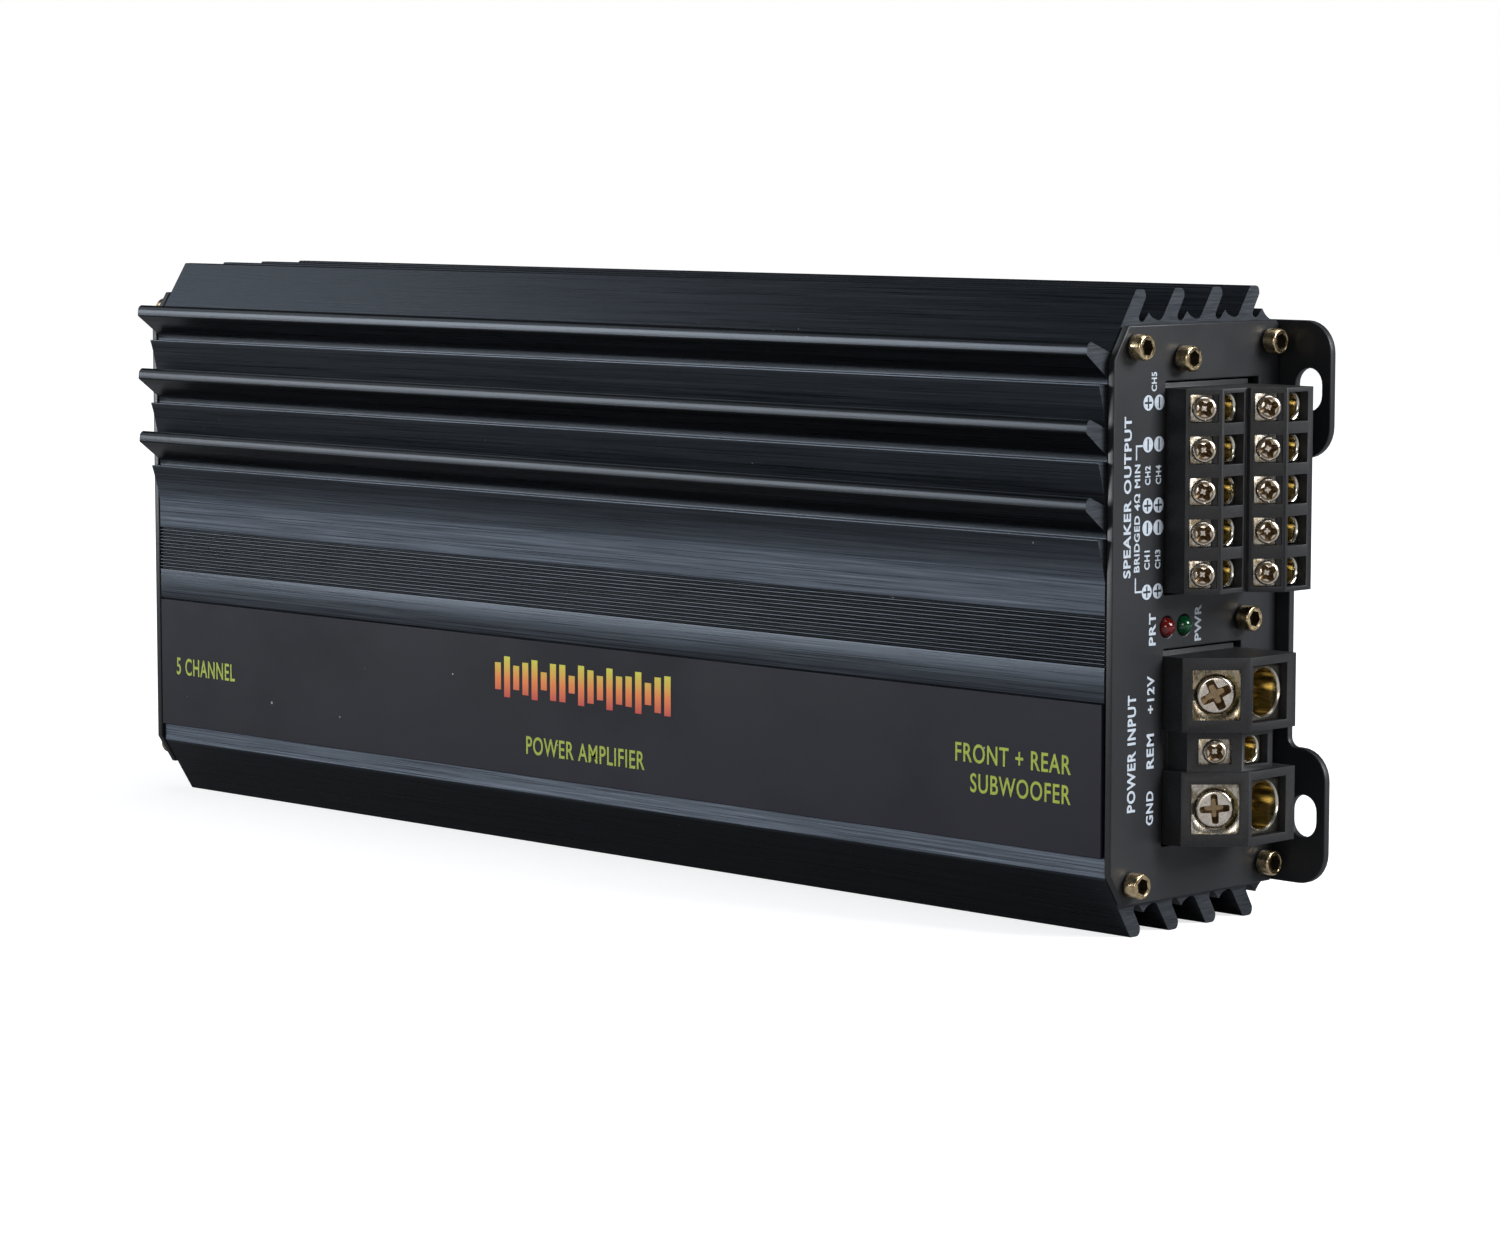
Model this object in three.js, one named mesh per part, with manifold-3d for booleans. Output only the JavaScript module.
// Five-channel car amplifier: a finned aluminium extrusion closed by two end plates and a
// mounting plate, with screw terminals at one end and signal inputs and controls at the other.
// Millimetres. X runs along the extrusion to the terminal end, -Y is the ribbed label face,
// +Y the mounting plate, +Z up. The case stands on its lower fins.

import * as THREE from 'three';
import { mergeVertices } from 'three/addons/utils/BufferGeometryUtils.js';
import Module from 'manifold-3d';

const wasm = await Module();
wasm.setup();

// ---------------------------------------------------------------- driving dimensions

const GAP = 0.3; // between pieces that touch

// extrusion
const LENGTH = 366;
const HEIGHT = 156.8; // lower fin tips to upper fin tips
const DEPTH = 62.9; // label face to rear edge
const WALL = 4.4;
const FIN_HEIGHT = 8.5; // fin tip to outside of wall
const FIN_COUNT = 4;
const FIN_FIRST = 11; // label face to first fin tip
const FIN_PITCH = 14.5;
const FIN_TIP = 2.1;
const FIN_LEAN = 4.3; // sideways run of a fin's front side
const FIN_FOOT = 4.8; // fin tip to the ridge behind it
const RIB_COUNT = 3;
const RIB_PITCH = 18.5;
const RIB_REACH = 6.9; // in front of the label face
const RIDGE_REACH = 2.4;
const RIB_BELOW_TOP = 15.1; // fin tips to lower edge of first rib's tip
const FACE_SETBACK = 0.4;
const LABEL_THICKNESS = 1.1;
const LABEL_TOP = 58;
const LABEL_BOTTOM = 20.4;
const STRIP_BOTTOM = 15.6; // where the lower slope starts
const GROOVE_TOP = 79;
const GROOVE_COUNT = 13;
const GROOVE_PITCH = 0.98;
const GROOVE_DEPTH = 0.35;

// end plates and their socket screws
const PLATE = 2;
const PLATE_STANDOFF = 0.5;
const PLATE_MARGIN = 0.3; // plate edge behind the label face
const SCREW_SHANK = 3.4; // diameters
const SCREW_HEAD = 6.3;
const SCREW_HEAD_HEIGHT = 3.5;
const SCREW_LENGTH = 12;
const SCREW_HEX = 3.6; // across flats
const SCREW_INSET_FRONT = 7.7;
const SCREW_INSET_REAR = 4.2;
const SCREW_INSET_EDGE = 13.6; // fin tips to corner screws
const TOP_SCREW_Y = 25.2;
const TOP_SCREW_DROP = 16.8;
const BRACKET_SCREW_Y = 49.6;
const BRACKET_SCREW_DROP = 8.2; // below the speaker block
const BRACKET_LENGTH = 14; // into the case
const BRACKET_WIDTH = 12; // along Y, before it runs back to the mounting plate
const BRACKET_HEIGHT = 9;

// mounting plate
const MOUNT = 2;
const MOUNT_OVERHANG = 6.6; // past the extrusion's ends
const EAR_REACH = 18.4;
const EAR_WIDTH = 33.9;
const EAR_RADIUS = 8;
const EAR_FILLET = 2.5;
const SLOT_WIDTH = 8; // along X
const SLOT_LENGTH = 10.6; // along Z
const SLOT_CENTRE = 11.6; // past the extrusion's ends

// terminal blocks: a base, a face at 45 degrees that holds the screws, and a wire face
const BLOCK_FRONT = 19.7; // label face to block
const BLOCK_INSIDE = 9; // reach into the case
const COLLAR_RISE = 1.2; // collar behind the plate's face above the block
const COLLAR_SETBACK = 0.5; // collar behind the plate's outer face
const OPENING_ABOVE = 0.4; // collar to plate opening
const OPENING_BELOW = 0.5; // block to plate opening

const SPEAKER_WAYS = 5;
const SPEAKER_PITCH = 10;
const SPEAKER_BASE = 8.6; // past the extrusion's end
const SPEAKER_MARGIN = 4.7; // first and last screw to block edge
const SPEAKER_DROP = 7; // top screw to block
const SPEAKER_RUN = 6.2; // X run of the 45 degree face
const SPEAKER_WIRE_FACE = 9.2;
const SPEAKER_STEP = 1.2; // second row's step outwards
const SPEAKER_OPENING_REAR = 3.6; // block to plate opening
const SPEAKER_CELL = {
  window: 7, windowHeight: 6.8, windowRecess: 1.1, opening: 7.4, openingHeight: 7.2, openingInset: 0.8,
  openingRecess: 2.5, bore: 6, hole: 3.8, seat: 0,
};

const POWER_BASE = 8.3;
const POWER_RUN = 11.6;
const POWER_WIRE_FACE = 17.7;
const POWER_HEIGHT = 18.1;
const POWER_COLLAR_SHORT = 2; // collar's rear end in front of the block's
const REMOTE_HEIGHT = 9.7;
const REMOTE_SETBACK = 2.1;
const REMOTE_RUN = 9.4;
const REMOTE_WIRE_FACE = 11.7;
const POWER_DROP = 15.45; // speaker block to power block
const POWER_CELL = {
  window: 11.8, windowHeight: 12.2, windowRecess: 0.9, opening: 13.2, openingHeight: 14, openingInset: 1.1,
  openingRecess: 2, bore: 11.6, hole: 9.8, seat: 11.3,
};
const REMOTE_CELL = {
  window: 8.2, windowHeight: 6.2, windowRecess: 0.9, opening: 8.9, openingHeight: 7.2, openingInset: 1,
  openingRecess: 2, bore: 5.8, hole: 3.8, seat: 0,
};
const CLAMP_GAP = 0.25; // clamp block to housing
const PAN_HEAD = 6;
const PAN_HEAD_HEIGHT = 2;
const PAN_SHANK = 3.2;
const SET_SCREW = 9.2;
const CROSS_WIDTH = 1.1;
const CROSS_DEPTH = 1.1;

// lights
const LIGHT_DIAMETER = 4.8;
const LIGHT_RISE = 1.9;
const LIGHT_Y = [20.7, 27.2];
const LIGHT_DROP = 8.4; // below the speaker block

// board and what stands on it
const BOARD = 1.6;
const BOARD_DROP = 8.4; // rear edge to the board's component side
const BOARD_MARGIN = 11; // outside of wall to board edge
const BOARD_SETBACK = 14; // from the extrusion's ends
const BOARD_BEHIND_BLOCKS = 16; // terminal blocks to board edge
const STANDOFF = 7;
const STANDOFF_INSET = 12;
const TOROID_DIAMETER = 50;
const TOROID_HOLE = 18;
const TOROID_HEIGHT = 24;
const CAPACITOR_DIAMETER = 22;
const CAPACITOR_HEIGHT = 38;
const INDUCTOR_SIZE = 27;
const INDUCTOR_HEIGHT = 20;
const CLAMP_BAR_HEIGHT = 9;
const CLAMP_BAR_WIDTH = 12;
const CLAMP_BAR_BEHIND = 8; // top screw to bar

// control end
const RCA_COLUMNS = 3;
const RCA_PITCH = 15;
const RCA_TOP_Z = 128;
const RCA_Y = [26, 42];
const RCA_BARREL = 8.3;
const RCA_COLLAR = 10.6;
const RCA_REACH = 9;
const RCA_CONTACT = 3.3;
const RCA_BODY = 13; // into the case
const RCA_BODY_MARGIN = 6.8; // outer sockets' axes to body edges
const PORT_Y = 42;
const PORT_Z = 84.5;
const PORT_WIDTH = 12; // along Z
const PORT_HEIGHT = 10; // along Y
const PORT_INSIDE = 14; // into the case
const PORT_FLOOR = 6;
const PORT_WALL = 1.5;
const KNOB_DIAMETER = 6;
const KNOB_REACH = 2.2;
const KNOB_SLOT_WIDTH = 1;
const KNOB_SLOT_DEPTH = 1.3;
const KNOB_Y = 42;
const KNOB_Z = [67, 54, 41, 28];
const SWITCH_Y = 25;
const SWITCH_Z = [60.5, 34.5];
const SWITCH_LEVER = 3;
const SWITCH_REACH = 1.8;
const SWITCH_TRAVEL = 2; // each way
const RISER_DISTANCE = 9; // extrusion's end to riser board
const ADJUSTER_SETBACK = 2; // extrusion's end to adjuster bodies
const ADJUSTER_BODY = 9.5;

// ---------------------------------------------------------------- derived places

const END = LENGTH / 2;
const WALL_TOP = HEIGHT - FIN_HEIGHT;
const INNER_TOP = WALL_TOP - WALL;
const INNER_BOTTOM = FIN_HEIGHT + WALL;
const INNER_FRONT = 5;
const REAR_SCREW_Y = DEPTH - SCREW_INSET_REAR;
const PLATE_OUTER = END + PLATE_STANDOFF + PLATE;
const FLOOR_SETBACK = LABEL_THICKNESS + 0.2; // surface the label lies on
const LUMP = 5; // solid round a corner screw
const BOARD_FRONT = DEPTH - BOARD_DROP;
const BOARD_LOW = FIN_HEIGHT + BOARD_MARGIN;
const BOARD_HIGH = HEIGHT - BOARD_LOW;
const CORNER_SCREWS = [
  [SCREW_INSET_FRONT, HEIGHT - SCREW_INSET_EDGE],
  [REAR_SCREW_Y, HEIGHT - SCREW_INSET_EDGE],
  [SCREW_INSET_FRONT, SCREW_INSET_EDGE],
  [REAR_SCREW_Y, SCREW_INSET_EDGE],
];
const TOP_SCREW = [TOP_SCREW_Y, HEIGHT - TOP_SCREW_DROP];
const SPEAKER_SPAN = (SPEAKER_WAYS - 1) * SPEAKER_PITCH;
const SPEAKER_HIGH = TOP_SCREW[1] - SPEAKER_DROP;
const SPEAKER_LOW = SPEAKER_HIGH - SPEAKER_SPAN - 2 * SPEAKER_MARGIN;
const REMOTE_Z = SPEAKER_LOW - POWER_DROP - POWER_HEIGHT - REMOTE_HEIGHT / 2;
const BRACKET_SCREW = [BRACKET_SCREW_Y, SPEAKER_LOW - BRACKET_SCREW_DROP];
const LIGHT_Z = SPEAKER_LOW - LIGHT_DROP;

const amplifier = new THREE.Group();

// ---------------------------------------------------------------- materials

const material = (color, roughness, metalness) =>
  new THREE.MeshStandardMaterial({ color, roughness, metalness });

const anodised = material(0x23272d, 0.45, 0.7);
const coatedSteel = material(0x141518, 0.55, 0.3);
const labelPrint = material(0x26262c, 0.6, 0.1);
const zincYellow = material(0xb79a5b, 0.35, 0.9);
const nickel = material(0xb8ab92, 0.3, 0.95);
const housingPlastic = material(0x17171a, 0.6, 0);
const redLens = material(0x8a1512, 0.25, 0);
const greenLens = material(0x0f5a2c, 0.25, 0);
const boardGreen = material(0x1d4a2c, 0.6, 0);
const copper = material(0x9c5a2a, 0.4, 0.6);
const capacitorSleeve = material(0x1b2430, 0.4, 0);
const ferrite = material(0x2b2b2d, 0.7, 0);
const knobPlastic = material(0x2a2a2c, 0.5, 0);

// ---------------------------------------------------------------- geometry tools

function toSolid(geometry) {
  const bare = geometry.clone();
  bare.deleteAttribute('normal');
  bare.deleteAttribute('uv');
  const merged = mergeVertices(bare, 1e-4);
  return new wasm.Manifold(new wasm.Mesh({
    numProp: 3,
    vertProperties: new Float32Array(merged.attributes.position.array),
    triVerts: new Uint32Array(merged.index.array),
  }));
}

function toGeometry(solid) {
  const mesh = solid.getMesh();
  const geometry = new THREE.BufferGeometry();
  geometry.setAttribute('position', new THREE.BufferAttribute(new Float32Array(mesh.vertProperties), 3));
  geometry.setIndex(new THREE.BufferAttribute(new Uint32Array(mesh.triVerts), 1));
  geometry.computeVertexNormals();
  return geometry;
}

function cut(geometry, cutters) {
  return toGeometry(cutters.reduce((solid, cutter) => solid.subtract(toSolid(cutter)), toSolid(geometry)));
}

function join(geometries) {
  return toGeometry(geometries.map(toSolid).reduce((whole, piece) => whole.add(piece)));
}

function addPart(name, geometry, finish) {
  const mesh = new THREE.Mesh(geometry, finish);
  mesh.name = name;
  amplifier.add(mesh);
}

// a shape drawn in (Y, Z), pulled along X
function pullX(shape, from, to, curveSegments = 4) {
  const geometry = new THREE.ExtrudeGeometry(shape, { depth: to - from, bevelEnabled: false, curveSegments });
  const turn = new THREE.Matrix4().set(0, 0, 1, from, 1, 0, 0, 0, 0, 1, 0, 0, 0, 0, 0, 1);
  return geometry.applyMatrix4(turn);
}

// a shape drawn in (X, Y), pulled along Z
function pullZ(shape, from, to) {
  return new THREE.ExtrudeGeometry(shape, { depth: to - from, bevelEnabled: false }).translate(0, 0, from);
}

// a shape drawn in (Z, X), pulled along Y
function pullY(shape, from, to, curveSegments = 6) {
  const geometry = new THREE.ExtrudeGeometry(shape, { depth: to - from, bevelEnabled: false, curveSegments });
  const turn = new THREE.Matrix4().set(0, 1, 0, 0, 0, 0, 1, from, 1, 0, 0, 0, 0, 0, 0, 1);
  return geometry.applyMatrix4(turn);
}

function block([x0, x1], [y0, y1], [z0, z1]) {
  const geometry = new THREE.BoxGeometry(x1 - x0, y1 - y0, z1 - z0);
  return geometry.translate((x0 + x1) / 2, (y0 + y1) / 2, (z0 + z1) / 2);
}

// a geometry made along +Y from its origin, laid along a direction from a point
function aim(geometry, point, direction) {
  const turn = new THREE.Quaternion();
  turn.setFromUnitVectors(new THREE.Vector3(0, 1, 0), direction.clone().normalize());
  return geometry.applyQuaternion(turn).translate(point.x, point.y, point.z);
}

function rod(point, direction, length, diameter, sides = 24) {
  const geometry = new THREE.CylinderGeometry(diameter / 2, diameter / 2, length, sides);
  return aim(geometry.translate(0, length / 2, 0), point, direction);
}

// a turned piece: [radius, distance] pairs from the axis and back to it, along a direction
function turned(outline, point, direction, sides = 24) {
  const profile = outline.map(([radius, along]) => new THREE.Vector2(radius, along));
  return aim(new THREE.LatheGeometry(profile, sides), point, direction);
}

function polygon(points) {
  return new THREE.Shape(points.map(([u, v]) => new THREE.Vector2(u, v)));
}

const OUTWARD = { terminal: new THREE.Vector3(1, 0, 0), control: new THREE.Vector3(-1, 0, 0) };

// ---------------------------------------------------------------- finned extrusion

// upper edge from the rear to the first fin's front corner
function finnedEdge() {
  const edge = new THREE.Path();
  const ridge = (tip) => [tip + FIN_FOOT, HEIGHT - 5.6];
  const valley = FIN_PITCH - FIN_LEAN - FIN_FOOT;
  edge.moveTo(DEPTH, WALL_TOP);
  const lastTip = FIN_FIRST + (FIN_COUNT - 1) * FIN_PITCH;
  edge.quadraticCurveTo(lastTip + 6.2, WALL_TOP + 0.6, ...ridge(lastTip));
  for (let fin = FIN_COUNT - 1; fin >= 0; fin -= 1) {
    const tip = FIN_FIRST + fin * FIN_PITCH;
    edge.lineTo(tip + 3.4, HEIGHT - 7.2);
    edge.quadraticCurveTo(tip + 2.4, HEIGHT - 8.3, tip + 1.5, HEIGHT - 7.6);
    edge.quadraticCurveTo(tip + 0.8, HEIGHT - 7, tip + 1.2, HEIGHT - 6.2);
    edge.lineTo(tip + FIN_TIP + 1.5, HEIGHT - 2.1);
    edge.quadraticCurveTo(tip + FIN_TIP + 1.6, HEIGHT, tip + FIN_TIP, HEIGHT);
    edge.lineTo(tip, HEIGHT);
    if (fin > 0) {
      edge.lineTo(tip - FIN_LEAN, HEIGHT - 6.6);
      edge.quadraticCurveTo(tip - FIN_LEAN - 1, HEIGHT - 8.1, tip - FIN_LEAN - valley / 2, HEIGHT - 7.4);
      edge.quadraticCurveTo(tip - FIN_LEAN - valley + 0.8, HEIGHT - 6.9, ...ridge(tip - FIN_PITCH));
    }
  }
  return edge.getPoints(3);
}

// ribs and small ridges on the front, from the top down
function ribbedFront() {
  const front = new THREE.Path();
  const firstTip = HEIGHT - RIB_BELOW_TOP;
  front.moveTo(1.5, firstTip + 0.3);
  for (let rib = 0; rib < RIB_COUNT; rib += 1) {
    const tip = firstTip - rib * RIB_PITCH;
    const last = rib === RIB_COUNT - 1;
    front.lineTo(-RIB_REACH + 1.5, tip + 3.1);
    front.quadraticCurveTo(-RIB_REACH + 0.3, tip + 2.8, -RIB_REACH + 0.1, tip + 1.6);
    front.lineTo(-RIB_REACH, tip);
    front.lineTo(0.5, tip - 5.6);
    front.quadraticCurveTo(0.8, tip - 6.2, 0.75, tip - 7.2);
    front.lineTo(-RIDGE_REACH, tip - 7.2);
    front.lineTo(-RIDGE_REACH, tip - 7.5);
    front.quadraticCurveTo(-0.8, tip - 12, last ? FACE_SETBACK : 0, tip - RIB_PITCH + 0.9);
  }
  return front.getPoints(4);
}

function groovedBand() {
  const points = [];
  for (let groove = 0; groove < GROOVE_COUNT; groove += 1) {
    const top = GROOVE_TOP - groove * GROOVE_PITCH;
    points.push(new THREE.Vector2(FACE_SETBACK, top));
    points.push(new THREE.Vector2(FACE_SETBACK + GROOVE_DEPTH, top - GROOVE_PITCH * 0.3));
    points.push(new THREE.Vector2(FACE_SETBACK, top - GROOVE_PITCH * 0.6));
  }
  return points;
}

// inside of the channel, from the lower rear edge to the upper, with solid round each screw
function innerChannel() {
  const low = SCREW_INSET_EDGE + LUMP;
  const high = HEIGHT - low;
  const rear = REAR_SCREW_Y - LUMP;
  const bossLow = TOP_SCREW[1] - SCREW_SHANK;
  return [
    [DEPTH, FIN_HEIGHT], [DEPTH, low], [rear, low], [rear, INNER_BOTTOM],
    [SCREW_INSET_FRONT + LUMP + 3, INNER_BOTTOM], [SCREW_INSET_FRONT + LUMP, low], [INNER_FRONT, low],
    [INNER_FRONT, high], [SCREW_INSET_FRONT + LUMP, high], [SCREW_INSET_FRONT + LUMP + 3, INNER_TOP],
    [TOP_SCREW_Y - SCREW_SHANK, INNER_TOP], [TOP_SCREW_Y - SCREW_SHANK, bossLow],
    [TOP_SCREW_Y + SCREW_SHANK, bossLow], [TOP_SCREW_Y + SCREW_SHANK, INNER_TOP],
    [rear, INNER_TOP], [rear, high], [DEPTH, high],
  ].map(([y, z]) => new THREE.Vector2(y, z));
}

function screwHoles(places, end) {
  const outward = OUTWARD[end];
  const depth = SCREW_LENGTH + 2;
  const start = (END - depth) * outward.x;
  return places.map(([y, z]) =>
    rod(new THREE.Vector3(start, y, z), outward, depth + 1, SCREW_SHANK + 2 * GAP, 16));
}

const upperEdge = finnedEdge();
const lowerEdge = upperEdge.map((point) => new THREE.Vector2(point.x, HEIGHT - point.y)).reverse();
const extrusionOutline = new THREE.Shape([
  ...upperEdge,
  ...ribbedFront(),
  ...groovedBand(),
  new THREE.Vector2(FACE_SETBACK, LABEL_TOP),
  new THREE.Vector2(FLOOR_SETBACK, LABEL_TOP),
  new THREE.Vector2(FLOOR_SETBACK, STRIP_BOTTOM),
  ...lowerEdge,
  ...innerChannel(),
]);
addPart('heatsink_body', cut(pullX(extrusionOutline, -END, END), [
  ...screwHoles([...CORNER_SCREWS, TOP_SCREW], 'terminal'),
  ...screwHoles(CORNER_SCREWS, 'control'),
]), anodised);

// ---------------------------------------------------------------- label plate

addPart('label_plate', block(
  [-END + GAP, END - GAP],
  [0, LABEL_THICKNESS],
  [LABEL_BOTTOM, LABEL_TOP - GAP],
), labelPrint);

// ---------------------------------------------------------------- mounting plate

function mountingOutline() {
  const outline = new THREE.Shape();
  const top = WALL_TOP;
  const bottom = FIN_HEIGHT;
  const inner = END + MOUNT_OVERHANG;
  const outer = END + EAR_REACH;
  outline.moveTo(top, -inner);
  for (const side of [1, -1]) {
    const at = (z, x) => (side === 1 ? [z, x] : [top + bottom - z, -x]);
    outline.lineTo(...at(top, outer - EAR_RADIUS));
    outline.quadraticCurveTo(...at(top, outer), ...at(top - EAR_RADIUS, outer));
    outline.lineTo(...at(top - EAR_WIDTH + EAR_RADIUS, outer));
    outline.quadraticCurveTo(...at(top - EAR_WIDTH, outer), ...at(top - EAR_WIDTH, outer - EAR_RADIUS));
    outline.lineTo(...at(top - EAR_WIDTH, inner + EAR_FILLET));
    outline.quadraticCurveTo(...at(top - EAR_WIDTH, inner), ...at(top - EAR_WIDTH - EAR_FILLET, inner));
    outline.lineTo(...at(bottom + EAR_WIDTH + EAR_FILLET, inner));
    outline.quadraticCurveTo(...at(bottom + EAR_WIDTH, inner), ...at(bottom + EAR_WIDTH, inner + EAR_FILLET));
    outline.lineTo(...at(bottom + EAR_WIDTH, outer - EAR_RADIUS));
    outline.quadraticCurveTo(...at(bottom + EAR_WIDTH, outer), ...at(bottom + EAR_WIDTH - EAR_RADIUS, outer));
    outline.lineTo(...at(bottom + EAR_RADIUS, outer));
    outline.quadraticCurveTo(...at(bottom, outer), ...at(bottom, outer - EAR_RADIUS));
  }
  outline.closePath();
  return outline;
}

function slotHole(z, x) {
  const straight = (SLOT_LENGTH - SLOT_WIDTH) / 2;
  const hole = new THREE.Path();
  hole.absarc(z + straight, x, SLOT_WIDTH / 2, Math.PI / 2, -Math.PI / 2, true);
  hole.absarc(z - straight, x, SLOT_WIDTH / 2, -Math.PI / 2, -3 * Math.PI / 2, true);
  return hole;
}

const mountFront = DEPTH + GAP;
const earCentres = [FIN_HEIGHT + EAR_WIDTH / 2, WALL_TOP - EAR_WIDTH / 2];
const plateOutline = mountingOutline();
for (const z of earCentres) {
  plateOutline.holes.push(slotHole(z, END + SLOT_CENTRE), slotHole(z, -END - SLOT_CENTRE));
}
const standoffLength = mountFront - BOARD_FRONT - BOARD - GAP;
const boardEnd = END - BOARD_SETBACK;
const standoffPlaces = [BOARD_LOW + STANDOFF_INSET, BOARD_HIGH - STANDOFF_INSET].flatMap((z) =>
  [-boardEnd + STANDOFF_INSET, 0, boardEnd - STANDOFF_INSET].map((x) => [x, z]));
addPart('mounting_plate', join([
  pullY(plateOutline, mountFront, mountFront + MOUNT),
  ...standoffPlaces.map(([x, z]) => rod(
    new THREE.Vector3(x, mountFront - standoffLength, z), new THREE.Vector3(0, 1, 0), standoffLength + 1, STANDOFF)),
]), coatedSteel);

// ---------------------------------------------------------------- clamp cells of the terminal blocks

// A cell is described in plan. Its screw face runs at 45 degrees up to a corner, and its wire
// face runs from that corner towards the rear.
function cellFrame(cell, cornerX, cornerY, run, z) {
  const faceLength = run * Math.SQRT2;
  const half = new THREE.Vector2(1, 1).multiplyScalar(faceLength / 2 / Math.SQRT2);
  const centre = new THREE.Vector2(cornerX, cornerY).sub(half);
  const inward = new THREE.Vector2(-1, 1).normalize();
  const seat = centre.clone().addScaledVector(inward, cell.windowRecess);
  const wireLow = cornerY + cell.openingInset;
  const wireHigh = wireLow + cell.opening;
  const boreY = (wireLow + wireHigh) / 2;
  return {
    cell, z, centre, inward, seat, wireLow, wireHigh, boreY,
    wireFace: cornerX,
    blockFace: cornerX - cell.openingRecess,
    meetX: seat.x - (boreY - seat.y), // where the screw's axis meets the bore's
  };
}

const plan = (point, z) => new THREE.Vector3(point.x, point.y, z);

// plan outline of the clamp block, or of its pocket when grown by a clearance
function clampOutline(frame, grow) {
  const { cell, seat, inward, wireLow, wireHigh } = frame;
  const along = new THREE.Vector2(1, 1).normalize();
  const halfWindow = cell.window / 2 - CLAMP_GAP + grow;
  const near = seat.clone().addScaledVector(along, -halfWindow);
  const low = wireLow + CLAMP_GAP - grow;
  const high = wireHigh - CLAMP_GAP + grow;
  const back = frame.meetX - cell.bore / 2 - 1 - grow;
  const face = frame.blockFace;
  const slantAtFace = seat.y + (face - seat.x);
  const turnX = near.x - (low - near.y);
  const nearOnWall = near.clone().addScaledVector(inward, low - near.y > 0 ? (low - near.y) * Math.SQRT2 : 0);
  return polygon([
    [face, slantAtFace], [face, high], [back, high], [back, low],
    [Math.max(turnX, back), nearOnWall.y], [near.x, near.y],
  ]);
}

function clampBlock(frame) {
  const { cell, z, seat, inward } = frame;
  const halfHeight = cell.openingHeight / 2 - CLAMP_GAP;
  const body = pullZ(clampOutline(frame, 0), z - halfHeight, z + halfHeight);
  const boreStart = frame.meetX - cell.bore / 2;
  const along = plan(inward, 0);
  const outside = seat.clone().addScaledVector(inward, -2);
  const holeLength = 2 + Math.SQRT2 * (frame.boreY - seat.y);
  const cutters = [
    rod(new THREE.Vector3(boreStart, frame.boreY, z), OUTWARD.terminal, 60, cell.bore, 24),
    rod(plan(outside, z), along, holeLength, cell.hole, 16),
  ];
  if (cell.seat) {
    const mouth = seat.clone().addScaledVector(inward, -1);
    cutters.push(turned([[0, 0], [cell.seat / 2 + 1, 0], [cell.hole / 2, 2], [0, 2]], plan(mouth, z), along));
  }
  return cut(body, cutters);
}

function cellPocket(frame) {
  const { cell, z, centre, inward, seat } = frame;
  const halfHeight = cell.openingHeight / 2;
  const pocket = pullZ(clampOutline(frame, CLAMP_GAP), z - halfHeight, z + halfHeight);
  const mouth = block(
    [frame.blockFace - 0.1, frame.wireFace + 1],
    [frame.wireLow, frame.wireHigh],
    [z - halfHeight, z + halfHeight],
  );
  const depth = cell.windowRecess + 1.2;
  const window = new THREE.BoxGeometry(cell.window, depth, cell.windowHeight).translate(0, depth / 2 - 1, 0);
  window.applyMatrix4(new THREE.Matrix4().makeBasis(
    new THREE.Vector3(1, 1, 0).normalize(), plan(inward, 0), new THREE.Vector3(0, 0, 1)));
  window.translate(centre.x, centre.y, z);
  const tunnelStart = seat.clone().addScaledVector(inward, -0.1);
  const tunnel = rod(plan(tunnelStart, z), plan(inward, 0), 1, cell.window * 0.8, 12);
  return [pocket, mouth, window, tunnel];
}

function crossCutters(point, direction, size) {
  const arm = (turn) => {
    const cutter = new THREE.BoxGeometry(size, 2 * CROSS_DEPTH, CROSS_WIDTH * size / 4).rotateY(turn);
    return aim(cutter, point, direction);
  };
  return [arm(Math.PI / 9), arm(Math.PI / 9 + Math.PI / 2)];
}

// collar that stops a block in its plate opening
function collar(rear, low, high) {
  return block(
    [END - BLOCK_INSIDE, PLATE_OUTER - COLLAR_SETBACK], [BLOCK_FRONT, rear], [low, high + COLLAR_RISE]);
}

// pan-head screw whose head stands on the clamp block
function panScrew(frame) {
  const { cell, seat, inward, z } = frame;
  const out = plan(inward, 0).negate();
  const tipDepth = Math.SQRT2 * (frame.boreY - seat.y) - cell.bore / 2 - 0.8;
  const headBase = tipDepth + GAP;
  const top = headBase + PAN_HEAD_HEIGHT;
  const tip = plan(seat.clone().addScaledVector(inward, tipDepth), z);
  const body = turned([
    [0, 0], [PAN_SHANK / 2, 0], [PAN_SHANK / 2, headBase], [PAN_HEAD / 2, headBase],
    [PAN_HEAD / 2, top - 0.8], [PAN_HEAD / 2 - 0.8, top], [0, top],
  ], tip, out, 20);
  return cut(body, crossCutters(tip.clone().addScaledVector(out, top), out, 0.66 * PAN_HEAD));
}

// headless screw, flush with the clamp block
function setScrew(frame) {
  const { cell, seat, inward, z } = frame;
  const out = plan(inward, 0).negate();
  const tipDepth = Math.SQRT2 * (frame.boreY - seat.y) - cell.bore / 2 - 0.8;
  const tip = plan(seat.clone().addScaledVector(inward, tipDepth), z);
  const radius = SET_SCREW / 2;
  const body = turned([
    [0, 0], [radius - 1, 0], [radius, 1], [radius, tipDepth - 0.6], [radius - 0.6, tipDepth], [0, tipDepth],
  ], tip, out, 24);
  return cut(body, crossCutters(tip.clone().addScaledVector(out, tipDepth), out, 0.8 * SET_SCREW));
}

// ---------------------------------------------------------------- speaker terminal block

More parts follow.
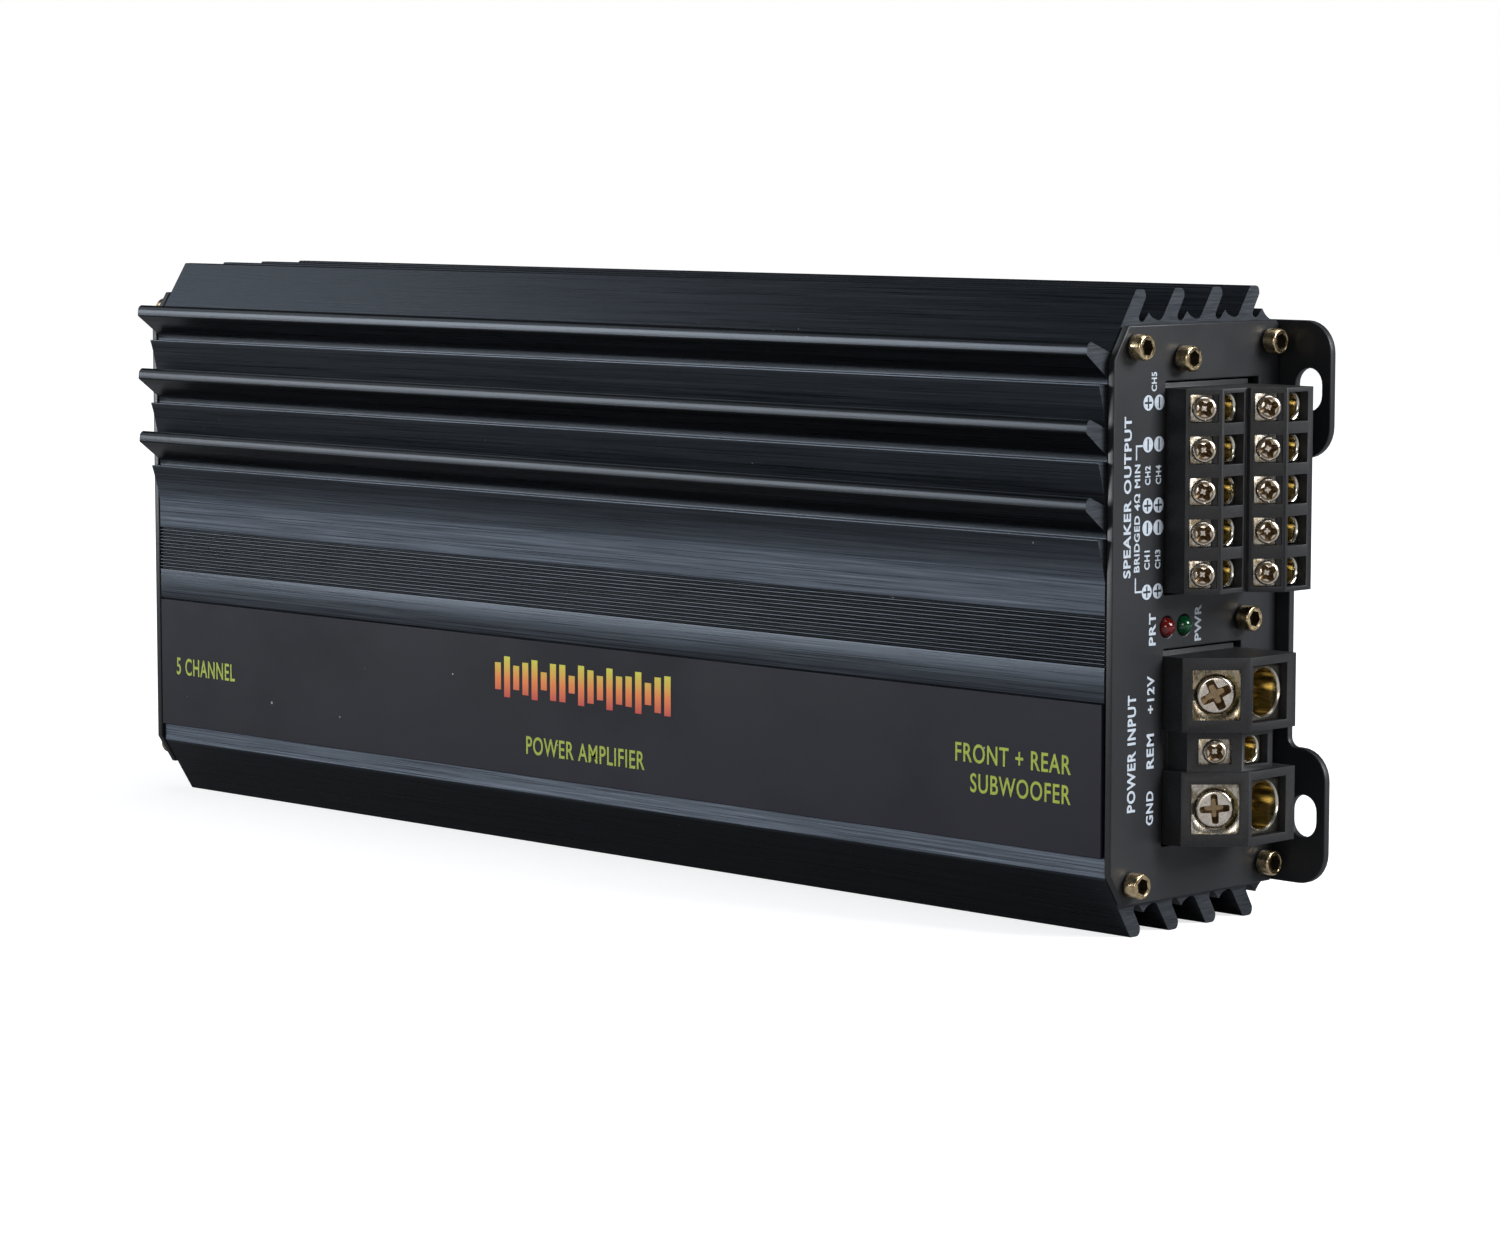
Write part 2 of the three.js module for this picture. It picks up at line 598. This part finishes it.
const speakerCorners = [
  [END + SPEAKER_BASE + SPEAKER_RUN, BLOCK_FRONT + SPEAKER_RUN],
  [END + SPEAKER_BASE + 2 * SPEAKER_RUN + SPEAKER_STEP, BLOCK_FRONT + 2 * SPEAKER_RUN + SPEAKER_WIRE_FACE],
];
const speakerRear = speakerCorners[1][1] + SPEAKER_WIRE_FACE + 1;
const speakerCells = [];
for (let way = 0; way < SPEAKER_WAYS; way += 1) {
  for (const [cornerX, cornerY] of speakerCorners) {
    const z = SPEAKER_HIGH - SPEAKER_MARGIN - way * SPEAKER_PITCH;
    speakerCells.push(cellFrame(SPEAKER_CELL, cornerX, cornerY, SPEAKER_RUN, z));
  }
}

const speakerPlan = polygon([
  [END - BLOCK_INSIDE, BLOCK_FRONT], [END + SPEAKER_BASE, BLOCK_FRONT],
  speakerCorners[0], [speakerCorners[0][0], speakerCorners[0][1] + SPEAKER_WIRE_FACE],
  [speakerCorners[0][0] + SPEAKER_STEP, speakerCorners[0][1] + SPEAKER_WIRE_FACE],
  speakerCorners[1], [speakerCorners[1][0], speakerRear], [END - BLOCK_INSIDE, speakerRear],
]);
const speakerSolid = join([
  pullZ(speakerPlan, SPEAKER_LOW, SPEAKER_HIGH),
  collar(speakerRear, SPEAKER_LOW, SPEAKER_HIGH),
]);
addPart('speaker_terminal_housing', cut(speakerSolid, speakerCells.flatMap(cellPocket)), housingPlastic);
speakerCells.forEach((frame, index) => {
  const number = String(index + 1).padStart(2, '0');
  addPart(`speaker_clamp_block_${number}`, clampBlock(frame), nickel);
  addPart(`speaker_clamp_screw_${number}`, panScrew(frame), nickel);
});

// ---------------------------------------------------------------- power terminal block

const powerCorner = [END + POWER_BASE + POWER_RUN, BLOCK_FRONT + POWER_RUN];
const remoteCorner = [END + POWER_BASE + REMOTE_RUN, BLOCK_FRONT + REMOTE_SETBACK + REMOTE_RUN];
const powerOffset = (POWER_HEIGHT + REMOTE_HEIGHT) / 2;
const powerRear = powerCorner[1] + POWER_WIRE_FACE;

const supplyCell = cellFrame(POWER_CELL, ...powerCorner, POWER_RUN, REMOTE_Z + powerOffset);
const remoteCell = cellFrame(REMOTE_CELL, ...remoteCorner, REMOTE_RUN, REMOTE_Z);
const groundCell = cellFrame(POWER_CELL, ...powerCorner, POWER_RUN, REMOTE_Z - powerOffset);

const powerPlan = polygon([
  [END - BLOCK_INSIDE, BLOCK_FRONT], [END + POWER_BASE, BLOCK_FRONT], powerCorner,
  [powerCorner[0], powerRear], [END - BLOCK_INSIDE, powerRear],
]);
const remotePlan = polygon([
  [END - BLOCK_INSIDE, BLOCK_FRONT + REMOTE_SETBACK], [END + POWER_BASE, BLOCK_FRONT + REMOTE_SETBACK],
  remoteCorner, [remoteCorner[0], remoteCorner[1] + REMOTE_WIRE_FACE],
  [END + POWER_BASE, remoteCorner[1] + REMOTE_WIRE_FACE], [END + POWER_BASE, powerRear],
  [END - BLOCK_INSIDE, powerRear],
]);
const halfPower = POWER_HEIGHT / 2;
const powerLow = groundCell.z - halfPower;
const powerHigh = supplyCell.z + halfPower;
const halfRemote = REMOTE_HEIGHT / 2 + 0.5; // runs a little into its neighbours
const powerSolid = join([
  pullZ(powerPlan, supplyCell.z - halfPower, powerHigh),
  pullZ(remotePlan, remoteCell.z - halfRemote, remoteCell.z + halfRemote),
  pullZ(powerPlan, powerLow, groundCell.z + halfPower),
  collar(powerRear - POWER_COLLAR_SHORT, powerLow, powerHigh),
]);
addPart('power_terminal_housing',
  cut(powerSolid, [supplyCell, remoteCell, groundCell].flatMap(cellPocket)), housingPlastic);
addPart('supply_clamp_block', clampBlock(supplyCell), nickel);
addPart('supply_clamp_screw', setScrew(supplyCell), nickel);
addPart('remote_clamp_block', clampBlock(remoteCell), nickel);
addPart('remote_clamp_screw', panScrew(remoteCell), nickel);
addPart('ground_clamp_block', clampBlock(groundCell), nickel);
addPart('ground_clamp_screw', setScrew(groundCell), nickel);

// ---------------------------------------------------------------- end plates

function plateShape() {
  return polygon([
    [PLATE_MARGIN, HEIGHT - FIN_HEIGHT - 8], [PLATE_MARGIN + 5.2, WALL_TOP], [DEPTH - 1, WALL_TOP],
    [DEPTH, WALL_TOP - 1], [DEPTH, FIN_HEIGHT + 1], [DEPTH - 1, FIN_HEIGHT],
    [PLATE_MARGIN + 5.2, FIN_HEIGHT], [PLATE_MARGIN, FIN_HEIGHT + 8],
  ]);
}

// a plate cut from sheet, with round and square holes right through it
function endPlate(end, roundHoles, squareHoles) {
  const side = OUTWARD[end].x;
  const [from, to] = [PLATE_OUTER - PLATE, PLATE_OUTER].map((x) => x * side).sort((a, b) => a - b);
  const through = [from - 1, to + 1];
  return cut(pullX(plateShape(), from, to), [
    ...roundHoles.map(([y, z, diameter]) =>
      rod(new THREE.Vector3(through[0], y, z), OUTWARD.terminal, through[1] - through[0], diameter, 20)),
    ...squareHoles.map(([yRange, zRange]) => block(through, yRange, zRange)),
  ]);
}

const around = (centre, size) => [centre - size / 2 - GAP, centre + size / 2 + GAP];
const screwHole = ([y, z]) => [y, z, SCREW_SHANK + 2 * GAP];
addPart('terminal_end_plate', endPlate('terminal', [
  ...[...CORNER_SCREWS, TOP_SCREW, BRACKET_SCREW].map(screwHole),
  ...LIGHT_Y.map((y) => [y, LIGHT_Z, LIGHT_DIAMETER + 2 * GAP]),
], [
  [[BLOCK_FRONT - GAP, speakerRear + SPEAKER_OPENING_REAR],
    [SPEAKER_LOW - OPENING_BELOW, SPEAKER_HIGH + COLLAR_RISE + OPENING_ABOVE]],
  [[BLOCK_FRONT - GAP, powerRear + GAP],
    [powerLow - OPENING_BELOW, powerHigh + COLLAR_RISE + OPENING_ABOVE]],
]), coatedSteel);

const rcaPlaces = RCA_Y.flatMap((y) =>
  Array.from({ length: RCA_COLUMNS }, (_, column) => [y, RCA_TOP_Z - column * RCA_PITCH]));
addPart('control_end_plate', endPlate('control', [
  ...CORNER_SCREWS.map(screwHole),
  ...rcaPlaces.map(([y, z]) => [y, z, RCA_COLLAR + 2 * GAP]),
  ...KNOB_Z.map((z) => [KNOB_Y, z, KNOB_DIAMETER + 2 * GAP]),
], [
  ...SWITCH_Z.map((z) => [around(SWITCH_Y, SWITCH_LEVER), around(z, SWITCH_LEVER + 2 * SWITCH_TRAVEL)]),
  [around(PORT_Y, PORT_HEIGHT), around(PORT_Z, PORT_WIDTH)],
]), coatedSteel);

// ---------------------------------------------------------------- socket screws

function socketScrew([y, z], end) {
  const out = OUTWARD[end];
  const shank = SCREW_LENGTH;
  const start = new THREE.Vector3((PLATE_OUTER + GAP - shank) * out.x, y, z);
  const top = shank + SCREW_HEAD_HEIGHT;
  const body = turned([
    [0, 0], [SCREW_SHANK / 2, 0], [SCREW_SHANK / 2, shank], [SCREW_HEAD / 2, shank],
    [SCREW_HEAD / 2, top - 0.4], [SCREW_HEAD / 2 - 0.4, top], [0, top],
  ], start, out, 20);
  const mouth = start.clone().addScaledVector(out, top - 2);
  return cut(body, [rod(mouth, out, 3, SCREW_HEX / Math.cos(Math.PI / 6), 6)]);
}

[...CORNER_SCREWS, TOP_SCREW, BRACKET_SCREW].forEach((place, index) =>
  addPart(`terminal_end_screw_${index + 1}`, socketScrew(place, 'terminal'), zincYellow));
CORNER_SCREWS.forEach((place, index) =>
  addPart(`control_end_screw_${index + 1}`, socketScrew(place, 'control'), zincYellow));

// ---------------------------------------------------------------- bracket behind the middle screw

const bracketRear = mountFront - GAP;
const bracketFront = BRACKET_SCREW_Y - BRACKET_WIDTH / 2;
const bracketZ = BRACKET_SCREW[1];
addPart('end_plate_bracket', cut(
  block([END - BRACKET_LENGTH, END + PLATE_STANDOFF - GAP], [bracketFront, bracketRear],
    [bracketZ - BRACKET_HEIGHT / 2, bracketZ + BRACKET_HEIGHT / 2]),
  screwHoles([BRACKET_SCREW], 'terminal')), anodised);

// ---------------------------------------------------------------- status lights

const lenses = [['protect_light', redLens], ['power_light', greenLens]];
lenses.forEach(([name, lens], index) => {
  const radius = LIGHT_DIAMETER / 2;
  const flange = PLATE_OUTER - PLATE - GAP;
  const start = flange - 5;
  const crown = PLATE_OUTER + LIGHT_RISE;
  const dome = [0.25, 0.5, 0.75].map((turn) => [
    radius * Math.cos(turn * Math.PI / 2), crown - start - radius * (1 - Math.sin(turn * Math.PI / 2))]);
  addPart(name, turned([
    [0, 0], [radius + 0.4, 0], [radius + 0.4, 1], [radius, 1], [radius, crown - start - radius],
    ...dome, [0, crown - start],
  ], new THREE.Vector3(start, LIGHT_Y[index], LIGHT_Z), OUTWARD.terminal, 20), lens);
});

// ---------------------------------------------------------------- circuit board and riser

const riserX = -END + RISER_DISTANCE;
const adjusterFront = -END + ADJUSTER_SETBACK;
const boardX = [riserX - BOARD, END - BLOCK_INSIDE - BOARD_BEHIND_BLOCKS];
const adjusterBodies = [
  ...KNOB_Z.map((z) => [KNOB_Y, z, ADJUSTER_BODY]),
  ...SWITCH_Z.map((z) => [SWITCH_Y, z, ADJUSTER_BODY]),
].map(([y, z, size]) =>
  block([adjusterFront, riserX + 0.5], [y - size / 2, y + size / 2], [z - size / 2, z + size / 2]));
addPart('circuit_board', join([
  block(boardX, [BOARD_FRONT, BOARD_FRONT + BOARD], [BOARD_LOW, BOARD_HIGH]),
  block([riserX, riserX + BOARD], [SWITCH_Y - ADJUSTER_BODY, BOARD_FRONT + 0.5], [BOARD_LOW, PORT_Z - 8]),
  ...adjusterBodies,
]), boardGreen);

// ---------------------------------------------------------------- parts on the board

const boardTop = BOARD_FRONT - GAP;
const towardFace = new THREE.Vector3(0, -1, 0);
const middleZ = HEIGHT / 2;

addPart('power_transformer', turned([
  [TOROID_HOLE / 2, 2], [TOROID_HOLE / 2 + 2, 0], [TOROID_DIAMETER / 2 - 3, 0], [TOROID_DIAMETER / 2, 4],
  [TOROID_DIAMETER / 2, TOROID_HEIGHT - 4], [TOROID_DIAMETER / 2 - 3, TOROID_HEIGHT],
  [TOROID_HOLE / 2 + 2, TOROID_HEIGHT], [TOROID_HOLE / 2, TOROID_HEIGHT - 2], [TOROID_HOLE / 2, 2],
], new THREE.Vector3(END / 2, boardTop, middleZ), towardFace, 28), copper);

[-1, 1].forEach((side, index) => {
  const x = END / 2 - TOROID_DIAMETER / 2 - CAPACITOR_DIAMETER;
  const z = middleZ + side * (CAPACITOR_DIAMETER / 2 + 2);
  const radius = CAPACITOR_DIAMETER / 2;
  addPart(`reservoir_capacitor_${index + 1}`, turned([
    [0, 0], [radius, 0], [radius, CAPACITOR_HEIGHT - 1], [radius - 1, CAPACITOR_HEIGHT], [0, CAPACITOR_HEIGHT],
  ], new THREE.Vector3(x, boardTop, z), towardFace, 24), capacitorSleeve);
});

addPart('output_inductor', block(
  [-INDUCTOR_SIZE, 0], [boardTop - INDUCTOR_HEIGHT, boardTop],
  [middleZ - INDUCTOR_SIZE / 2, middleZ + INDUCTOR_SIZE / 2]), ferrite);

addPart('transistor_clamp_bar', block(
  [-END / 2, END / 2], [TOP_SCREW_Y + CLAMP_BAR_BEHIND, TOP_SCREW_Y + CLAMP_BAR_BEHIND + CLAMP_BAR_WIDTH],
  [INNER_TOP - CLAMP_BAR_HEIGHT, INNER_TOP - GAP]), anodised);

// ---------------------------------------------------------------- signal sockets

const rcaBodyFront = -PLATE_OUTER + PLATE + GAP;
const rcaMouth = -PLATE_OUTER - RCA_REACH;
const rcaZ = rcaPlaces.map(([, z]) => z);
const rcaBody = block(
  [rcaBodyFront, rcaBodyFront + RCA_BODY],
  [RCA_Y[0] - RCA_BODY_MARGIN - 0.2, BOARD_FRONT - GAP],
  [Math.min(...rcaZ) - RCA_BODY_MARGIN, Math.max(...rcaZ) + RCA_BODY_MARGIN]);
const rcaLength = rcaBodyFront + 1 - rcaMouth;
const rcaCollarLength = 1 + GAP + PLATE + 1.2;
const rcaBarrels = rcaPlaces.map(([y, z]) => turned([
  [0, 0], [RCA_COLLAR / 2, 0], [RCA_COLLAR / 2, rcaCollarLength], [RCA_BARREL / 2, rcaCollarLength],
  [RCA_BARREL / 2, rcaLength], [0, rcaLength],
], new THREE.Vector3(rcaBodyFront + 1, y, z), OUTWARD.control, 20));
const rcaContacts = rcaPlaces.map(([y, z]) =>
  rod(new THREE.Vector3(rcaMouth - 2, y, z), OUTWARD.terminal, RCA_REACH + 2, RCA_CONTACT, 12));
addPart('rca_socket_block', cut(join([rcaBody, ...rcaBarrels]), rcaContacts), housingPlastic);

const portFront = -PLATE_OUTER - 1;
addPart('bass_remote_socket', cut(
  block([portFront, -END + PORT_INSIDE], [PORT_Y - PORT_HEIGHT / 2, PORT_Y + PORT_HEIGHT / 2],
    [PORT_Z - PORT_WIDTH / 2, PORT_Z + PORT_WIDTH / 2]),
  [block([portFront - 1, -END + PORT_INSIDE - PORT_FLOOR],
    [PORT_Y - PORT_HEIGHT / 2 + PORT_WALL, PORT_Y + PORT_HEIGHT / 2 - PORT_WALL],
    [PORT_Z - PORT_WIDTH / 2 + PORT_WALL, PORT_Z + PORT_WIDTH / 2 - PORT_WALL])]), housingPlastic);

// ---------------------------------------------------------------- adjusters and switches

const knobNames = ['gain_adjuster_front', 'gain_adjuster_rear', 'gain_adjuster_sub', 'crossover_adjuster'];
knobNames.forEach((name, index) => {
  const start = new THREE.Vector3(adjusterFront - GAP, KNOB_Y, KNOB_Z[index]);
  const length = start.x + PLATE_OUTER + KNOB_REACH;
  const radius = KNOB_DIAMETER / 2;
  const shaft = turned([
    [0, 0], [radius, 0], [radius, length - 0.5], [radius - 0.5, length], [0, length],
  ], start, OUTWARD.control, 24);
  const slot = block([start.x - length - 1, start.x - length + KNOB_SLOT_DEPTH],
    [KNOB_Y - KNOB_DIAMETER, KNOB_Y + KNOB_DIAMETER],
    [KNOB_Z[index] - KNOB_SLOT_WIDTH / 2, KNOB_Z[index] + KNOB_SLOT_WIDTH / 2]);
  addPart(name, cut(shaft, [slot]), knobPlastic);
});

['filter_switch_front', 'filter_switch_rear'].forEach((name, index) => {
  const half = SWITCH_LEVER / 2;
  addPart(name, block([-PLATE_OUTER - SWITCH_REACH, adjusterFront - GAP], [SWITCH_Y - half, SWITCH_Y + half],
    [SWITCH_Z[index] - half, SWITCH_Z[index] + half]), knobPlastic);
});

// ---------------------------------------------------------------- origin under the middle of the box

const bounds = new THREE.Box3().setFromObject(amplifier);
const middle = bounds.getCenter(new THREE.Vector3());
amplifier.position.set(-middle.x, -middle.y, -bounds.min.z);

export default amplifier;
